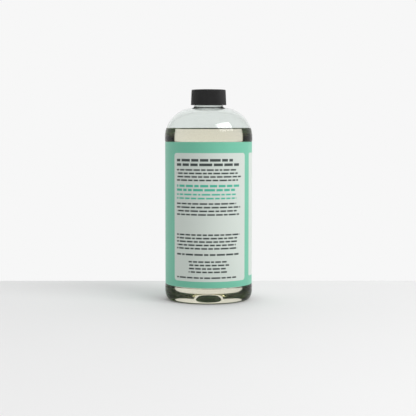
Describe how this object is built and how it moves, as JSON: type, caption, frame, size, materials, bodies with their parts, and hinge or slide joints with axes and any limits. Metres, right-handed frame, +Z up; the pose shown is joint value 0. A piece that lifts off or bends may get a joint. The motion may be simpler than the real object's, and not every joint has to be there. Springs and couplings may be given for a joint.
{
  "type": "laundry detergent bottle",
  "caption": "Filled round detergent bottle: clear blown body with a domed shoulder and threaded neck, black ribbed screw cap, wrap-round label and pale green liquid inside.",
  "frame": {"origin": "centre of the face that the bottle stands on", "axes": "+Z up along the bottle's axis; the front of the label faces -Y"},
  "size_m": [0.0868, 0.0868, 0.2079],
  "materials": {
    "clear_pet": "clear blow-moulded PET, glossy, very slightly grey",
    "detergent_liquid": "clear liquid, pale yellow-green",
    "label_film": "printed polypropylene film, satin",
    "black_polypropylene": "injection-moulded black polypropylene, satin",
    "liner_foam": "white foamed polyethylene, matt"
  },
  "bodies": {
    "pack": {"bottle": "clear_pet", "detergent": "detergent_liquid", "label": "label_film"},
    "liner": {"cap_liner": "liner_foam"},
    "closure": {"cap": "black_polypropylene"}
  },
  "joints": [
    {"name": "cap_lift", "type": "slide", "parent": "pack", "child": "liner", "axis": [0, 0, 1], "range_m": [0, 0.01695]},
    {"name": "cap_turn", "type": "hinge", "parent": "liner", "child": "closure", "pos_m": [0, 0, 0.2006], "axis": [0, 0, 1], "range_deg": [0, 1440]}
  ],
  "couplings": [
    {"joint": "cap_lift", "follows": "cap_turn", "m_per_rad": 0.0006737}
  ]
}
